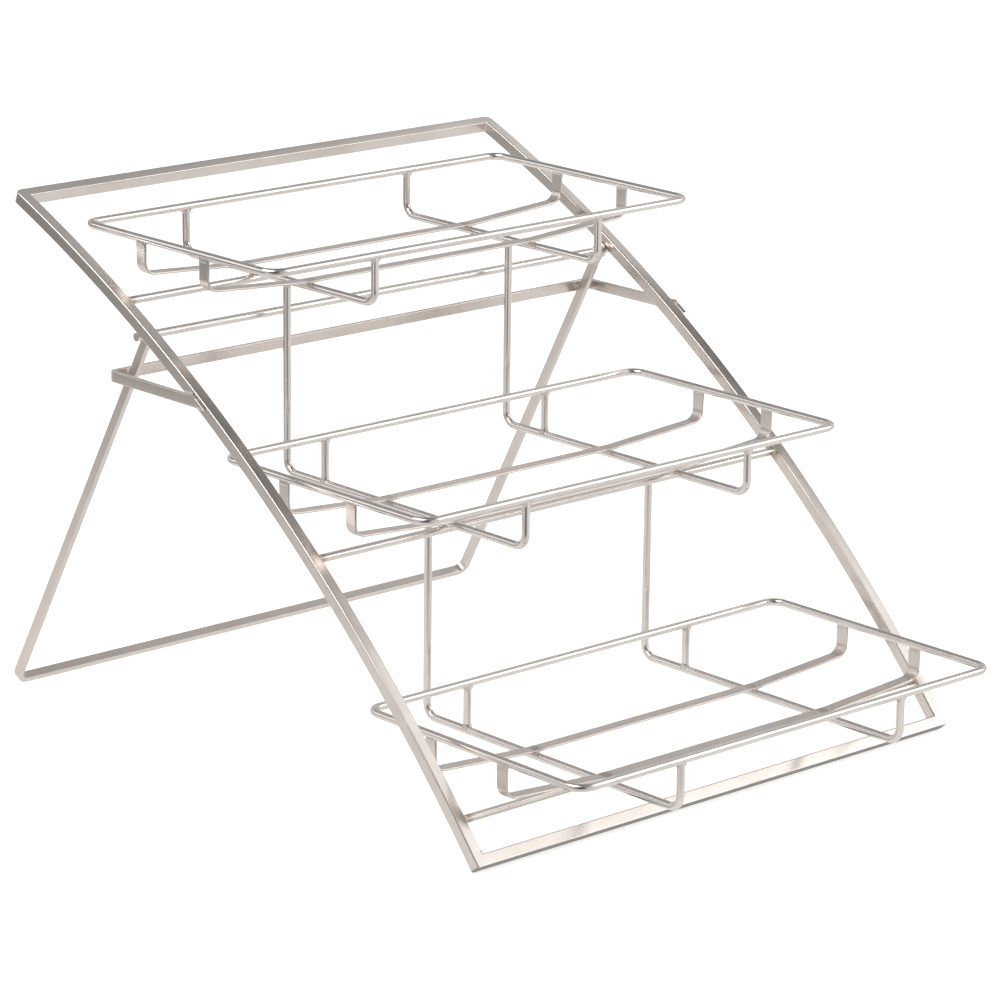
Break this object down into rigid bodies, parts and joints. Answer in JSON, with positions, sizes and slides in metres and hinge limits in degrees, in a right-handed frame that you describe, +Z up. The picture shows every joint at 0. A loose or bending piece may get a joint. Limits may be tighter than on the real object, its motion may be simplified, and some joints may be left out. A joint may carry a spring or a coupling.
{
  "type": "bakery bread rack",
  "caption": "Leaning arched wire rack for a counter, with stepped level trays for baskets of bread and a folding rear leg held by a stop loop.",
  "frame": {"origin": "on the counter, at the middle of the rack's length and width", "axes": "+X across the rack, +Y to its back, +Z up"},
  "size_m": [0.387, 0.4951, 0.3154],
  "materials": {
    "frame_bar": "satin nickel plate on square steel bar",
    "rod": "bright nickel plate on round steel rod",
    "rim_wire": "bright nickel plate on steel wire",
    "bearer_wire": "bright nickel plate on steel wire",
    "strip": "satin nickel plate on flat steel",
    "leg_bar": "satin nickel plate on flat steel bar",
    "stop_bar": "satin nickel plate on flat steel bar"
  },
  "bodies": {
    "rack": {"bottom_front_strip": "strip", "bottom_left_bearer": "bearer_wire", "bottom_left_post": "bearer_wire", "bottom_rear_strip": "strip", "bottom_right_bearer": "bearer_wire", "bottom_right_post": "bearer_wire", "bottom_ring": "rim_wire", "bottom_rod": "rod", "frame_bottom_bar": "frame_bar", "frame_left_bar": "frame_bar", "frame_right_bar": "frame_bar", "frame_top_bar": "frame_bar", "middle_front_strip": "strip", "middle_left_bearer": "bearer_wire", "middle_left_post": "bearer_wire", "middle_rear_strip": "strip", "middle_right_bearer": "bearer_wire", "middle_right_post": "bearer_wire", "middle_ring": "rim_wire", "middle_rod": "rod", "pivot_rod": "rod", "stop_loop": "stop_bar", "top_front_strip": "strip", "top_left_bearer": "bearer_wire", "top_rear_strip": "strip", "top_right_bearer": "bearer_wire", "top_ring": "rim_wire", "top_rod": "rod"},
    "leg": {"rear_leg": "leg_bar"}
  },
  "joints": [
    {"name": "leg_fold", "type": "hinge", "parent": "rack", "child": "leg", "pos_m": [0, 0.11116, 0.24669], "axis": [-1, 0, 0], "range_deg": [0, 65]}
  ]
}
